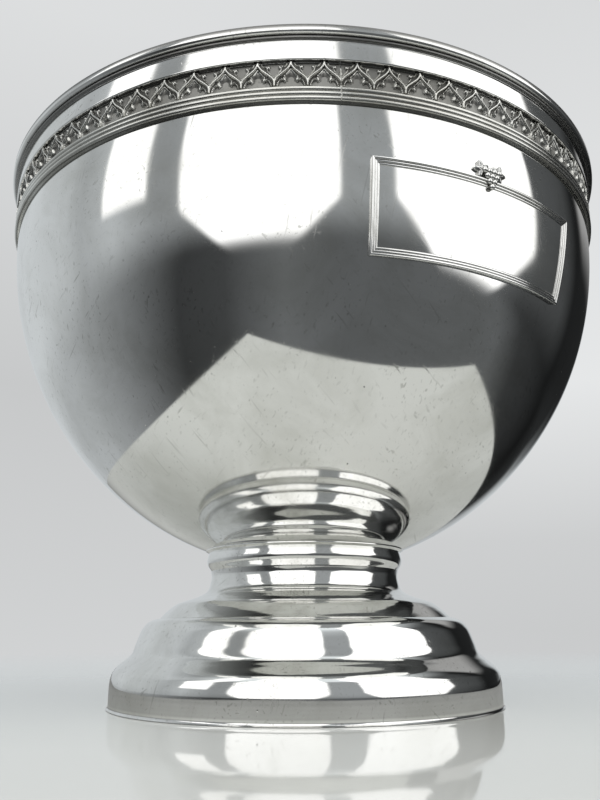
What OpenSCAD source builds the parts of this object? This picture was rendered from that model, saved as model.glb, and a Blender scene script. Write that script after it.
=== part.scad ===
// Pedestal champagne bucket in polished pewter.
// A deep spun bowl stands on a spun stem and a two-tier spun foot. Cast strips of
// pointed arches run round its mouth under a plain band and a rolled rim, and a
// framed plaque is soldered to its front. A stud under the bowl pulls the stem and
// the foot up against it. +Z is up, the foot stands on Z = 0, and the plaque faces -Y.

/* [Bowl] */
// Outside radius of the bowl's upright wall
bowl_r = 178.5; // [150:0.5:215]
// Depth of the bowl's round part, outside, from its widest level to its lowest point
bowl_depth = 187.2; // [150:0.1:225]
// Thickness of the spun bowl
bowl_wall = 1.8; // [1.2:0.1:3]

/* [Rim] */
// Height of the rolled rim
rim_h = 5.2; // [4:0.1:8]
// How far the rolled rim stands out from the bowl's wall
rim_out = 6.5; // [5:0.1:9]
// How far the rolled rim reaches in past the bowl's inner wall
rim_in = 0.5; // [0:0.1:2]
// Height of the plain band under the rim
band_h = 11.8; // [7:0.1:14]
// Thickness of the plain band
band_t = 3; // [1.5:0.1:4]
// Height of the fillet at the top of the plain band
band_fillet_h = 1.4; // [0.6:0.1:2]
// How far that fillet stands out from the band
band_fillet_out = 1.5; // [0.5:0.1:1.8]

/* [Frieze] */
// Number of cast strips round the bowl
strip_n = 4; // [4:1:4]
// Number of arches on each strip
arch_n = 19; // [12:1:24]
// Direction of the first seam, from the plaque's centre
seam_az = -23.5; // [-40:0.5:-22]
// Gap between two strips, filled with solder
seam_gap = 0.5; // [0.2:0.1:1]
// Height of the arcade
arcade_h = 12.9; // [11:0.1:18]
// Shadow gap between the arcade and the plain band
arcade_gap = 0.4; // [0.2:0.1:4]
// Thickness of the strip behind the arches
strip_t = 0.9; // [0.6:0.1:1.5]
// Height of the arches' relief above the strip
arch_relief = 1.6; // [0.6:0.1:2]
// Width of an arch's rib
rib_w = 1.5; // [0.8:0.1:2.2]
// Radius of each reed of the moulding under the arcade
reed_r = 1.22; // [0.8:0.01:1.4]
// Number of reeds
reed_n = 3; // [2:1:4]
// How far the strips' lower edge lies above the bowl's widest level
strip_rise = 1.6; // [0:0.1:4]

/* [Plaque] */
// Width of the plaque along the bowl
plaque_w = 120; // [80:0.5:140]
// Height of the plaque
plaque_h = 42.3; // [34:0.1:50]
// How far its top edge lies below the frieze
plaque_drop = 25.8; // [18:0.1:40]
// Thickness of the plaque's field
plaque_t = 1.3; // [0.8:0.1:2]
// Width of each of the frame's steps
frame_step_w = 1.2; // [0.8:0.1:2]
// Height of each of the frame's steps
frame_step_h = 0.45; // [0.2:0.05:0.8]
// Number of steps
frame_step_n = 3; // [2:1:4]

/* [Ornament] */
// Radius of the ornament's middle
ornament_r = 7.5; // [6:0.1:9]
// How far its centre lies below the plaque's top edge
ornament_drop = -1.5; // [-3:0.1:2]
// How far its face stands out from the bowl
ornament_t = 3; // [2.8:0.1:4]
// Radius of one berry
berry_r = 1.5; // [1:0.05:1.7]
// Rows of berries
berry_rows = 4; // [3:1:4]

/* [Stem] */
// Height of the stem, from the foot to the lip's edge
stem_h = 38.6; // [34:0.1:60]
// Radius of the joint between the stem and the foot
joint_r = 83.4; // [72:0.1:100]
// Radius of the neck
neck_r = 54.7; // [48:0.1:64]
// Height of the bead above the neck
bead_h = 10.6; // [8:0.1:14]
// How far the bead stands out from the neck
bead_out = 2.8; // [2:0.1:5]
// Height of the lip above the bead
lip_h = 1.7; // [1.2:0.1:3]
// How far the lip stands out from the bead
lip_out = 0.9; // [0.4:0.1:2]
// Thickness of the lip's edge
lip_edge = 0.6; // [0.3:0.1:1]
// Thickness of the spun stem
stem_wall = 1.8; // [1.2:0.1:2.5]
// Width of the seat that is turned in under the bowl
seat_w = 8; // [5:0.5:12]
// Width of the flange that is turned in on top of the foot
stem_flange_w = 12; // [8:0.5:16]

/* [Foot] */
// Radius of the foot where it stands
foot_r = 110; // [92:0.5:135]
// Height of the foot's two tiers
foot_h = 46.3; // [38:0.1:56]
// Thickness of the spun foot
foot_wall = 2.2; // [1.5:0.1:3]
// Width of the hem turned in at the bottom
hem_w = 6; // [4:0.5:10]
// Width of the flange turned in at the top
foot_flange_w = 14; // [10:0.5:18]

/* [Fixing] */
// Radius of the boss soldered under the bowl
boss_r = 22; // [16:0.5:30]
// Thickness of the boss in its middle
boss_t = 5; // [4:0.1:8]
// Radius of the stud
stud_r = 4; // [3:0.5:5]
// Length of stud that shows below the nut
stud_tail = 3; // [1:0.5:8]
// Thickness of the clamp plate
plate_t = 2.2; // [1.5:0.1:3]
// Rise of the clamp plate's dished middle
plate_rise = 4; // [2:0.5:6]
// Radius of the clamp plate's dished middle
dish_r = 50; // [30:1:56]
// Thickness of the washer
washer_t = 1.6; // [1:0.1:2.5]
// Radius of the washer
washer_r = 12; // [9:0.5:16]
// Thickness of the nut
nut_t = 6.5; // [5:0.1:8]
// Width of the nut across its flats
nut_af = 13; // [10:0.5:17]
// Clearance of the stud in the plate and the washer, on the radius
stud_play = 0.25; // [0.1:0.05:0.6]
// Clearance of the clamp plate inside the foot, on the radius
plate_play = 4; // [2:0.5:8]
// Clearance round the ornament in the plaque
ornament_play = 0.1; // [0.05:0.05:0.3]

/* [Hidden] */
$fn = 96;
fine_n = 360;  // for what lies against the bowl
curve_n = 40;  // lengths in the bowl's quarter ellipse
spline_n = 4;  // lengths between two points of a smooth line
reach = 400;   // larger than any part of the object
rib_sink = 0.3;  // depth of a rib's foot in the moulding

foot_top = foot_h;
lip_z = foot_top + stem_h;
bead_top = lip_z - lip_h;
bead_low = bead_top - bead_h;
lip_r = neck_r + bead_out + lip_out;
bowl_mid = lip_z + bowl_depth * sqrt(1 - pow(lip_r / bowl_r, 2));
bowl_low = bowl_mid - bowl_depth;

moulding_h = 2 * reed_r * reed_n;
reed_tuck = reed_r / 8;  // the flats between the reeds end short of their crowns
strip_low = bowl_mid + strip_rise;
arcade_low = strip_low + moulding_h;
arcade_top = arcade_low + arcade_h;
band_low = arcade_top + arcade_gap;
band_top = band_low + band_h;
strip_a = 360 / strip_n;
arch_a = strip_a / arch_n;
gap_a = seam_gap / bowl_r * 180 / PI;

plaque_top = strip_low - plaque_drop;
plaque_low = plaque_top - plaque_h;
ornament_z = plaque_top - ornament_drop;
berry_step = 1.85 * berry_r;  // berries press into each other a little

foot_flange_r = joint_r - foot_flange_w;
plate_r = joint_r - plate_play;
plate_low = foot_top - foot_wall - plate_t;
washer_low = plate_low + plate_rise - washer_t;
nut_low = washer_low - nut_t;
stud_low = nut_low - stud_tail;
stud_top = bowl_low - bowl_wall / 2;

// Half-outlines as shares of a tier's overhang and height, from the bottom up
foot_line = [
    [0, 0], [0.034, 0.02], [0.034, 0.06], [0.034, 0.13], [0.0345, 0.2], [0.037, 0.26],
    [0.05, 0.32], [0.074, 0.37], [0.1, 0.403], [0.17, 0.45], [0.34, 0.53], [0.465, 0.6],
    [0.525, 0.7], [0.6, 0.82], [0.66, 0.89], [0.76, 0.955], [0.9, 0.99], [1, 1]];
stem_line = [
    [0, 0], [0.06, 0.07], [0.125, 0.14], [0.21, 0.22], [0.32, 0.3], [0.49, 0.365], [0.7, 0.44],
    [0.855, 0.52], [0.94, 0.61], [0.98, 0.74], [1, 0.88], [0.985, 1]];
bead_line = [[0.04, 0], [0.3, 0.12], [0.83, 0.34], [1, 0.56], [0.88, 0.79], [0.69, 1]];

// A point at share t between b and c, on the smooth line through a, b, c and d
function on_line(a, b, c, d, t) =
    b + (c - a) / 2 * t + (a - 2.5 * b + 2 * c - d / 2) * t * t
    + (1.5 * b - a / 2 - 1.5 * c + d / 2) * t * t * t;

// The smooth line through a list of points
function smooth(p) = let (e = len(p) - 1) concat(
    [for (i = [0:e - 1], k = [0:spline_n - 1])
        on_line(p[max(i - 1, 0)], p[i], p[i + 1], p[min(i + 2, e)], k / spline_n)],
    [p[e]]);

// The same line moved by t to its left as it runs up
function beside(p, t) = [for (i = [0:len(p) - 1])
    let (d = p[min(i + 1, len(p) - 1)] - p[max(i - 1, 0)])
    p[i] + t / norm(d) * [-d.y, d.x]];

// A tier's half-outline from radius r0 at z0 to radius r1 at z1
function tier(shares, r0, z0, r1, z1) =
    smooth([for (s = shares) [r0 + (r1 - r0) * s.x, z0 + (z1 - z0) * s.y]]);

foot_outline = tier(foot_line, foot_r, 0, joint_r, foot_top);
stem_outline = concat(
    tier(stem_line, joint_r, foot_top, neck_r, bead_low),
    tier(bead_line, neck_r, bead_low, neck_r + bead_out, bead_top));

// The bowl's half-outline, grown by t: a quarter ellipse under an upright wall
function bowl_curve(t) = [for (i = [0:curve_n])
    let (a = 90 * i / curve_n, n = [sin(a) / bowl_r, -cos(a) / bowl_depth])
    [bowl_r * sin(a), bowl_mid - bowl_depth * cos(a)] + t * n / norm(n)];

module bowl_area(t) {
    polygon(concat(bowl_curve(t), [[bowl_r + t, reach], [0, reach]]));
}

// The skin between two distances from the bowl, from z0 up to z1
module skin_area(t0, t1, z0, z1) {
    intersection() {
        difference() {
            bowl_area(t1);
            bowl_area(t0);
        }
        translate([0, z0]) square([reach, z1 - z0]);
    }
}

// A stretch turned about the axis, from direction a0 to a1 from the plaque's centre
module turned(a0, a1) {
    rotate_extrude(angle = a1 - a0, start = a0 - 90, $fn = fine_n) children();
}

module ring_area(r0, r1, z0, z1) {
    translate([r0, z0]) square([r1 - r0, z1 - z0]);
}

module bowl() {
    color("gainsboro") rotate_extrude() intersection() {
        difference() {
            bowl_area(0);
            bowl_area(-bowl_wall);
        }
        square([reach, band_top]);
    }
}

module lip_band() {
    color("silver") rotate_extrude() union() {
        ring_area(bowl_r, bowl_r + band_t, band_low, band_top);
        ring_area(bowl_r, bowl_r + band_t + band_fillet_out, band_top - band_fillet_h, band_top);
    }
}

module rim_roll() {
    r_in = bowl_r - bowl_wall - rim_in;
    r_out = bowl_r + rim_out;
    c = rim_h / 2;
    color("silver") rotate_extrude() union() {
        translate([r_out - c, band_top + c]) circle(r = c);
        translate([r_in + c, band_top + c]) circle(r = c);
        ring_area(r_in, r_out - c, band_top, band_top + c);
        ring_area(r_in + c, r_out - c, band_top + c, band_top + rim_h);
    }
}

// A pointed arch of span w and height h, standing on the x axis
module arch_area(w, h) {
    c = (h * h - w * w / 4) / w;
    intersection() {
        translate([c, 0]) circle(r = w / 2 + c);
        translate([-c, 0]) circle(r = w / 2 + c);
        translate([-w, 0]) square([2 * w, 2 * h]);
    }
}

// One rib of the arcade. Its foot sinks into the moulding
module arch_rib() {
    w = 2 * (bowl_r + strip_t) * sin(arch_a / 2) - seam_gap;
    difference() {
        arch_area(w, arcade_h + rib_sink / 2);
        arch_area(w - 2 * rib_w, arcade_h - 1.7 * rib_w);
    }
}

module frieze_strip(i) {
    a0 = seam_az + (i - 1) * strip_a;
    color("darkgray") union() {
        turned(a0 + gap_a / 2, a0 + strip_a - gap_a / 2) union() {
            ring_area(bowl_r, bowl_r + strip_t, strip_low, arcade_top);
            ring_area(bowl_r, bowl_r + strip_t + reed_r / 2, strip_low + reed_tuck,
                arcade_low - reed_tuck);
            ring_area(bowl_r, bowl_r + strip_t + reed_r, strip_low + reed_r, arcade_low - reed_r);
            for (k = [0:reed_n - 1])
                translate([bowl_r + strip_t + reed_r / 2, strip_low + (2 * k + 1) * reed_r])
                    circle(r = reed_r);
        }
        for (k = [0:arch_n - 1])
            rotate([90, 0, a0 + (k + 0.5) * arch_a])
                translate([0, arcade_low - rib_sink, bowl_r + strip_t / 2])
                    linear_extrude(strip_t / 2 + arch_relief) arch_rib();
    }
}

module frieze_strip_1() { frieze_strip(1); }
module frieze_strip_2() { frieze_strip(2); }
module frieze_strip_3() { frieze_strip(3); }
module frieze_strip_4() { frieze_strip(4); }

module seam_solder() {
    color("lightgray") for (i = [0:strip_n - 1])
        turned(seam_az + i * strip_a - gap_a / 2, seam_az + i * strip_a + gap_a / 2)
            ring_area(bowl_r, bowl_r + strip_t, strip_low, arcade_top);
}

// The ornament's outline seen from the front: a middle and two side lobes
module ornament_area(grow) {
    circle(r = ornament_r + grow);
    for (side = [-1, 1])
        translate([side * ornament_r, 0]) circle(r = ornament_r * 0.55 + grow);
}

// That outline as a prism through the bowl's front wall
module ornament_block(grow, depth) {
    rotate([90, 0, 0]) translate([0, ornament_z, bowl_r * 0.9])
        linear_extrude(bowl_r * 0.1 + depth) ornament_area(grow);
}

module plaque() {
    half_a = plaque_w / 2 / bowl_r * 180 / PI;
    step_a = frame_step_w / bowl_r * 180 / PI;
    color("lightsteelblue") difference() {
        union() {
            turned(-half_a, half_a) skin_area(0, plaque_t, plaque_low, plaque_top);
            for (k = [0:frame_step_n - 1]) {
                t = plaque_t + frame_step_h * (frame_step_n - k);
                d = k * frame_step_w;
                a = half_a - k * step_a;
                turned(-a, a) skin_area(0, t, plaque_low + d, plaque_low + d + frame_step_w);
                turned(-a, a) skin_area(0, t, plaque_top - d - frame_step_w, plaque_top - d);
                turned(-a, step_a - a) skin_area(0, t, plaque_low + d, plaque_top - d);
                turned(a - step_a, a) skin_area(0, t, plaque_low + d, plaque_top - d);
            }
        }
        ornament_block(ornament_play, reach);
    }
}

module plaque_ornament() {
    color("white") union() {
        difference() {
            ornament_block(0, ornament_t);
            rotate_extrude($fn = fine_n) bowl_area(0);
        }
        for (row = [0:berry_rows - 1], k = [0:row])
            translate([(k - row / 2) * berry_step, -bowl_r - ornament_t,
                    ornament_z + (row - berry_rows / 2) * berry_step * 0.87])
                sphere(r = berry_r);
    }
}

// Everything inside a half-outline that runs up from z0 to z1
module inside_area(line, z0, z1) {
    polygon(concat([[0, z0]], line, [[0, z1]]));
}

module stem() {
    inner = beside(stem_outline, stem_wall);
    color("silver") rotate_extrude() difference() {
        union() {
            inside_area(stem_outline, foot_top, bead_top);
            polygon([[0, bead_top], stem_outline[len(stem_outline) - 1], [lip_r, lip_z - lip_edge],
                [lip_r, lip_z + lip_edge], [0, lip_z + lip_edge]]);
        }
        difference() {
            union() {
                intersection() {
                    inside_area(inner, foot_top, bead_top);
                    ring_area(0, reach, foot_top + stem_wall, bead_top);
                }
                ring_area(0, neck_r, bead_top - stem_wall, lip_z);
            }
            bowl_area(stem_wall);
        }
        ring_area(0, joint_r - stem_flange_w, foot_top, foot_top + 2 * stem_wall);
        ring_area(0, lip_r - seat_w, foot_top, reach);
        bowl_area(0);
    }
}

module foot() {
    inner = beside(foot_outline, foot_wall);
    color("silver") rotate_extrude() difference() {
        inside_area(foot_outline, 0, foot_top);
        intersection() {
            inside_area(inner, 0, foot_top);
            ring_area(0, reach, foot_wall, foot_top - foot_wall);
        }
        ring_area(0, foot_r - hem_w, 0, 2 * foot_wall);
        ring_area(0, foot_flange_r, foot_top - 2 * foot_wall, foot_top);
    }
}

module stud_boss() {
    color("darkseagreen") rotate_extrude() difference() {
        ring_area(0, boss_r, bowl_low - boss_t, bowl_low + boss_r);
        ring_area(0, stud_r, bowl_low - boss_t, stud_top - bowl_wall);
        bowl_area(0);
    }
}

module centre_stud() {
    color("slategray") translate([0, 0, stud_low])
        cylinder(r = stud_r, h = stud_top - bowl_wall - stud_low);
}

module clamp_plate() {
    ramp_r = (dish_r + foot_flange_r) / 2;
    color("steelblue") rotate_extrude() translate([0, plate_low]) polygon([
        [stud_r + stud_play, plate_rise], [dish_r, plate_rise], [ramp_r, 0], [plate_r, 0],
        [plate_r, plate_t], [ramp_r, plate_t], [dish_r, plate_rise + plate_t],
        [stud_r + stud_play, plate_rise + plate_t]]);
}

module washer() {
    color("khaki") rotate_extrude()
        ring_area(stud_r + stud_play, washer_r, washer_low, washer_low + washer_t);
}

module nut() {
    color("goldenrod") translate([0, 0, nut_low]) difference() {
        cylinder(r = nut_af / sqrt(3), h = nut_t, $fn = 6);
        cylinder(r = stud_r, h = nut_t);
    }
}

bowl();
lip_band();
rim_roll();
frieze_strip_1();
frieze_strip_2();
frieze_strip_3();
frieze_strip_4();
seam_solder();
plaque();
plaque_ornament();
stem();
foot();
stud_boss();
centre_stud();
clamp_plate();
washer();
nut();
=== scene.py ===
"""Looks of the pedestal champagne bucket: a deep spun pewter bowl with a cast arcade under
its rim and a bare framed plaque, on a spun stem and foot, drawn up by a stud underneath."""
import logging
import math
from dataclasses import dataclass
from enum import Enum

import bpy
import numpy as np
from mathutils import Matrix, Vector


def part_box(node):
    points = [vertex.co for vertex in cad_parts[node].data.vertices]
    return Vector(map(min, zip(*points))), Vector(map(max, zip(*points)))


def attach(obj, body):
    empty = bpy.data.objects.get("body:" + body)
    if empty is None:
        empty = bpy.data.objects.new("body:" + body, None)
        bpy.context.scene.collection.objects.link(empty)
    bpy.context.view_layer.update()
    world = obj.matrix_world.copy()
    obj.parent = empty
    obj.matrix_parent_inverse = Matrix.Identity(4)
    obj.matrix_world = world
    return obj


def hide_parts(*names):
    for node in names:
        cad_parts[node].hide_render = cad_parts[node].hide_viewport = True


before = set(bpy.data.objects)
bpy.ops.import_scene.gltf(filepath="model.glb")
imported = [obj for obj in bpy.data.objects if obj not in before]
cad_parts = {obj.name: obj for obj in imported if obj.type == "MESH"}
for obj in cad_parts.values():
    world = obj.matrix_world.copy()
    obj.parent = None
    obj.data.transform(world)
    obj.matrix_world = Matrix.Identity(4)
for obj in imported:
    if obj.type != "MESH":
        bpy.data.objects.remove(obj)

LOG = logging.getLogger("bucket")
MM = 0.001
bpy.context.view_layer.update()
Array = np.ndarray


class Slot(Enum):
    """The record's material slots that the pieces take their finish from."""

    BOWL = "bowl_pewter"
    RIM = "rim_pewter"
    FRIEZE = "frieze_pewter"
    PLAQUE = "plaque_pewter"
    SOLDER = "solder"
    FOOT = "foot_pewter"
    BRASS = "brass"
    STEEL = "zinc_steel"


# ---------------------------------------------------------------- outlines and surfaces


def smooth_line(points: Array, steps: int) -> Array:
    """Carry a smooth line through points.

    Between points b and c, with a before and d after, the place at share t is
    b + (c-a)/2 t + (a - 5b/2 + 2c - d/2) t^2 + (3b/2 - a/2 - 3c/2 + d/2) t^3.

    Args:
        points: points in a row, shape (n, 2).
        steps: lengths between two points.

    Returns:
        The line's points, shape ((n - 1) * steps + 1, 2).
    """
    p = np.asarray(points, float)
    ends = np.vstack([p[:1], p, p[-1:]])
    a, b, c, d = (ends[i:len(ends) - 3 + i, None] for i in range(4))
    t = (np.arange(steps) / steps)[None, :, None]
    line = (b + (c - a) / 2 * t + (a - 2.5 * b + 2 * c - d / 2) * t**2
            + (1.5 * b - a / 2 - 1.5 * c + d / 2) * t**3)
    return np.vstack([line.reshape(-1, 2), p[-1:]])


def tier(shares: Array, low: tuple[float, float], high: tuple[float, float],
         steps: int = 10) -> Array:
    """Fit a half-outline given as shares of overhang and height between two points.

    Args:
        shares: shares of the way from low to high, in radius and in height.
        low: radius and height of the lower end.
        high: radius and height of the upper end.
        steps: lengths between two of the shares' points.

    Returns:
        The smooth half-outline as radius and height.
    """
    start, end = np.array(low), np.array(high)
    return smooth_line(start + (end - start) * np.asarray(shares), steps)


def beside(line: Array, distance: float) -> Array:
    """Move a line to its left as it runs: each point goes along the turned direction.

    Args:
        line: radius and height of each point.
        distance: how far each point goes.

    Returns:
        The moved line.
    """
    way = np.gradient(line, axis=0)
    normal = np.stack([-way[:, 1], way[:, 0]], 1)
    return line + distance * normal / np.linalg.norm(normal, axis=1, keepdims=True)


def softened(corners: Array, cut: float, steps: int = 6) -> Array:
    """Round every corner of a closed outline.

    Each corner P becomes the curve (1-t)^2 A + 2t(1-t) P + t^2 B, where A and B lie a cut
    away from P along its two sides, or at a third of a shorter side.

    Args:
        corners: the closed outline's corners, shape (n, 2).
        cut: how far from each corner the rounding starts.
        steps: points on each corner.

    Returns:
        The rounded outline, shape (n * steps, 2).
    """
    p = np.asarray(corners, float)
    back, ahead = np.roll(p, 1, 0) - p, np.roll(p, -1, 0) - p

    def along(side: Array) -> Array:
        """The places a cut away from the corners along one side."""
        length = np.linalg.norm(side, axis=1, keepdims=True)
        return p + side / length * np.minimum(cut, length / 3)

    t = np.linspace(0, 1, steps)[None, :, None]
    a, b = along(back)[:, None], along(ahead)[:, None]
    return ((1 - t)**2 * a + 2 * t * (1 - t) * p[:, None] + t**2 * b).reshape(-1, 2)


def rise(x: Array, low: float, high: float) -> Array:
    """The smooth step 3t^2 - 2t^3 from 0 at low to 1 at high."""
    t = np.clip((x - low) / (high - low), 0, 1)
    return t * t * (3 - 2 * t)


def ridge(distance: Array, half_width: float) -> Array:
    """A round ridge: sqrt(1 - (distance / half width)^2), and 0 past the half width."""
    return np.sqrt(np.clip(1 - (distance / half_width)**2, 0, None))


def full_turn(count: int) -> Array:
    """Angles of a full turn in equal steps, from 0."""
    return np.arange(count) * 2 * np.pi / count


def grid_quads(index: Array) -> Array:
    """Join the rows of a grid of points, each row a closed ring, by quads.

    Args:
        index: the points' numbers, shape (rows, ring points).

    Returns:
        Four point numbers a quad, row after row.
    """
    onward = np.roll(index, -1, 1)
    return np.stack([index[:-1], onward[:-1], onward[1:], index[1:]], -1).reshape(-1, 4)


@dataclass(frozen=True)
class Shape:
    """Vertices in millimetres and faces, as arrays, with a value at each vertex for how dark its
    patina and its painted shade are.
    """

    points: Array
    loops: Array
    sizes: Array
    patina_and_shade: Array

    @staticmethod
    def join(*shapes: "Shape") -> "Shape":
        """Put several shapes into one, each still a closed solid of its own.

        Args:
            shapes: the shapes, in order.

        Returns:
            One shape with all their points and faces.
        """
        starts = np.cumsum([0] + [len(s.points) for s in shapes[:-1]])
        return Shape(np.vstack([s.points for s in shapes]),
                     np.concatenate([s.loops + n for s, n in zip(shapes, starts)]),
                     np.concatenate([s.sizes for s in shapes]),
                     np.concatenate([s.patina_and_shade for s in shapes]))


def tube_shape(points: Array, patina_and_shade: Array | None = None) -> Shape:
    """Close a grid of rings into a solid.

    Row i of the grid is a closed ring. Rows are joined one to the next, and the two end
    rings are closed by a face each.

    Args:
        points: the rings, shape (rows, ring points, 3).
        patina_and_shade: how dark the patina and the painted shade are at each point, shape (rows,
            ring points).

    Returns:
        The closed solid.
    """
    rows, ring = points.shape[:2]
    index = np.arange(rows * ring).reshape(rows, ring)
    quads = grid_quads(index)
    loops = np.concatenate([quads.ravel(), index[0, ::-1], index[-1]])
    sizes = np.concatenate([np.full(len(quads), 4), [ring, ring]])
    flat = np.zeros(rows * ring) if patina_and_shade is None else patina_and_shade.ravel()
    return Shape(points.reshape(-1, 3), loops, sizes, flat)


def turned_shape(outline: Array, turns: int, patina_and_shade: Array | None = None) -> Shape:
    """Turn a half-outline about the axis into a closed solid.

    A point at radius r and height z goes to (r cos a, r sin a, z) for every angle a. An
    outline that starts and ends on the axis gets a pole at each end. Any other outline is
    closed on itself, as a ring's section is.

    Args:
        outline: radius and height of each point, shape (n, 2).
        turns: lengths round the axis.
        patina_and_shade: how dark the patina and the painted shade are at each point of an outline
            that is clear of the axis.

    Returns:
        The closed solid.
    """
    angle = full_turn(turns)
    poled = outline[0, 0] < 1e-9
    body = outline[1:-1] if poled else outline
    r, z = body[:, :1], np.repeat(body[:, 1:], turns, 1)
    points = np.stack([r * np.cos(angle), r * np.sin(angle), z], -1).reshape(-1, 3)
    index = np.arange(len(body) * turns).reshape(-1, turns)
    quads = grid_quads(index if poled else np.vstack([index, index[:1]]))
    loops, sizes = quads.ravel(), np.full(len(quads), 4)
    if poled:
        first, onward = len(points), np.roll(index, -1, 1)
        poles = np.array([[0, 0, outline[0, 1]], [0, 0, outline[-1, 1]]])
        points = np.vstack([points, poles])
        fans = [np.stack([np.full(turns, first), onward[0], index[0]], -1),
                np.stack([np.full(turns, first + 1), index[-1], onward[-1]], -1)]
        loops = np.concatenate([loops, *(f.ravel() for f in fans)])
        sizes = np.concatenate([sizes, np.full(2 * turns, 3)])
    stain_and_shade = np.zeros(len(points)) if patina_and_shade is None else np.repeat(patina_and_shade, turns)
    return Shape(points, loops, sizes, stain_and_shade)


def make_piece(name: str, shape: Shape, finish: bpy.types.Material,
               replaced: tuple[str, ...], crease_deg: float = 35) -> bpy.types.Object:
    """Make a shape a piece that rides on the body and stands for CAD nodes.

    Args:
        name: the piece's name.
        shape: its closed solids, in millimetres.
        finish: its material.
        replaced: the CAD nodes that it stands for.
        crease_deg: edges that bend by more than this stay sharp.

    Returns:
        The new object.
    """
    points, loops, sizes = shape.points * MM, shape.loops, shape.sizes
    starts = np.concatenate([[0], np.cumsum(sizes)[:-1]])
    mesh = bpy.data.meshes.new(name)
    mesh.vertices.add(len(points))
    mesh.vertices.foreach_set("co", points.astype(np.float32).ravel())
    mesh.loops.add(len(loops))
    mesh.polygons.add(len(sizes))
    mesh.loops.foreach_set("vertex_index", loops.astype(np.int32))
    mesh.polygons.foreach_set("loop_start", starts.astype(np.int32))
    mesh.update(calc_edges=True)
    patina_and_shade = mesh.attributes.new("patina_and_shade", "FLOAT", "POINT")
    patina_and_shade.data.foreach_set("value", shape.patina_and_shade.astype(np.float32))
    if signed_volume(mesh) < 0:
        mesh.flip_normals()
    mesh.validate()
    mesh.shade_smooth()
    mesh.set_sharp_from_angle(angle=math.radians(crease_deg))
    mesh.materials.append(finish)
    piece = bpy.data.objects.new(name, mesh)
    bpy.context.scene.collection.objects.link(piece)
    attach(piece, "root")
    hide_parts(*replaced)
    LOG.info("%s: %d faces for %s", name, len(sizes), ", ".join(replaced))
    return piece


def signed_volume(mesh: bpy.types.Mesh) -> float:
    """The volume in a mesh: a sixth of the sum of a . (b x c) over its triangles a, b, c.

    Args:
        mesh: a closed mesh.

    Returns:
        The volume, above 0 if the faces point outwards.
    """
    mesh.calc_loop_triangles()
    corners = np.zeros(len(mesh.loop_triangles) * 3, np.int32)
    mesh.loop_triangles.foreach_get("vertices", corners)
    places = np.zeros(len(mesh.vertices) * 3, np.float32)
    mesh.vertices.foreach_get("co", places)
    a, b, c = (places.reshape(-1, 3)[corners.reshape(-1, 3)[:, i]] for i in range(3))
    return float(np.sum(a * np.cross(b, c)) / 6)


# ---------------------------------------------------------------- the bucket's levels


@dataclass(frozen=True)
class Levels:
    """Sizes and levels that the pieces share, in millimetres, as the CAD model has them."""

    bowl_r: float = 178.5
    bowl_depth: float = 187.2
    bowl_wall: float = 1.8
    foot_r: float = 110
    foot_top: float = 46.3
    joint_r: float = 83.4
    neck_r: float = 54.7
    stem_h: float = 38.6
    bead_h: float = 10.6
    bead_out: float = 2.8
    lip_h: float = 1.7
    lip_out: float = 0.9
    moulding_h: float = 7.32
    strip_rise: float = 1.6
    arcade_h: float = 12.9
    arcade_gap: float = 0.4
    band_h: float = 11.8
    rim_h: float = 5.2

    @property
    def lip_z(self) -> float:
        """Level of the lip's edge, where the stem meets the bowl."""
        return self.foot_top + self.stem_h

    @property
    def lip_r(self) -> float:
        """Radius of the lip's edge."""
        return self.neck_r + self.bead_out + self.lip_out

    @property
    def bowl_mid(self) -> float:
        """Widest level of the bowl: the lip's edge lies on the ellipse under it."""
        return self.lip_z + self.bowl_depth * math.sqrt(1 - (self.lip_r / self.bowl_r)**2)

    @property
    def strip_low(self) -> float:
        """Lower edge of the frieze."""
        return self.bowl_mid + self.strip_rise

    @property
    def arcade_low(self) -> float:
        """Foot of the arches, on top of the reeds."""
        return self.strip_low + self.moulding_h

    @property
    def band_low(self) -> float:
        """Lower edge of the plain band."""
        return self.arcade_low + self.arcade_h + self.arcade_gap

    @property
    def band_top(self) -> float:
        """Upper edge of the plain band, where the rolled rim sits."""
        return self.band_low + self.band_h

    def bowl_line(self, grow: float, count: int, start: float = 0) -> Array:
        """The bowl's quarter ellipse, grown outwards along its own normal.

        At angle a from the axis the radius is bowl_r sin a and the height bowl_mid -
        bowl_depth cos a, and the normal is (sin a / bowl_r, -cos a / bowl_depth).

        Args:
            grow: how far outside the bowl's outer face the line lies.
            count: number of points.
            start: angle of the first point, in radians.

        Returns:
            Radius and height of each point, from the bottom up to the widest level.
        """
        a = np.linspace(start, np.pi / 2, count)
        line = np.stack([self.bowl_r * np.sin(a), self.bowl_mid - self.bowl_depth * np.cos(a)], 1)
        normal = np.stack([np.sin(a) / self.bowl_r, -np.cos(a) / self.bowl_depth], 1)
        return line + grow * normal / np.linalg.norm(normal, axis=1, keepdims=True)

    def on_bowl(self, along: Array, z: Array, height: Array) -> Array:
        """Lay a flat pattern on the bowl's front.

        The bowl's radius at level z is r = bowl_r sqrt(1 - ((bowl_mid - z) / bowl_depth)^2).
        The direction is along / bowl_r, so a pattern's sides are meridians: it has its full
        width at the widest level and less below. The height goes out along the ellipse's
        normal.

        Args:
            along: distance to the right of the middle of the front.
            z: level on the bowl's face.
            height: how far out from the bowl's face.

        Returns:
            The places, with one more axis than the arguments.
        """
        drop = np.clip(self.bowl_mid - z, 0, None)
        r = self.bowl_r * np.sqrt(1 - (drop / self.bowl_depth)**2)
        normal = np.stack([r / self.bowl_r**2, -drop / self.bowl_depth**2])
        normal = normal / np.linalg.norm(normal, axis=0)
        out, level = r + height * normal[0], z + height * normal[1]
        angle = along / self.bowl_r
        return np.stack([out * np.sin(angle), -out * np.cos(angle), level], -1)


LEVELS = Levels()


def around(r: Array, z: Array, angle: Array) -> Array:
    """Places at radius r and level z, in directions from the front towards the right."""
    return np.stack([r * np.sin(angle), -r * np.cos(angle), z], -1)


# ---------------------------------------------------------------- finishes


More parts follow.
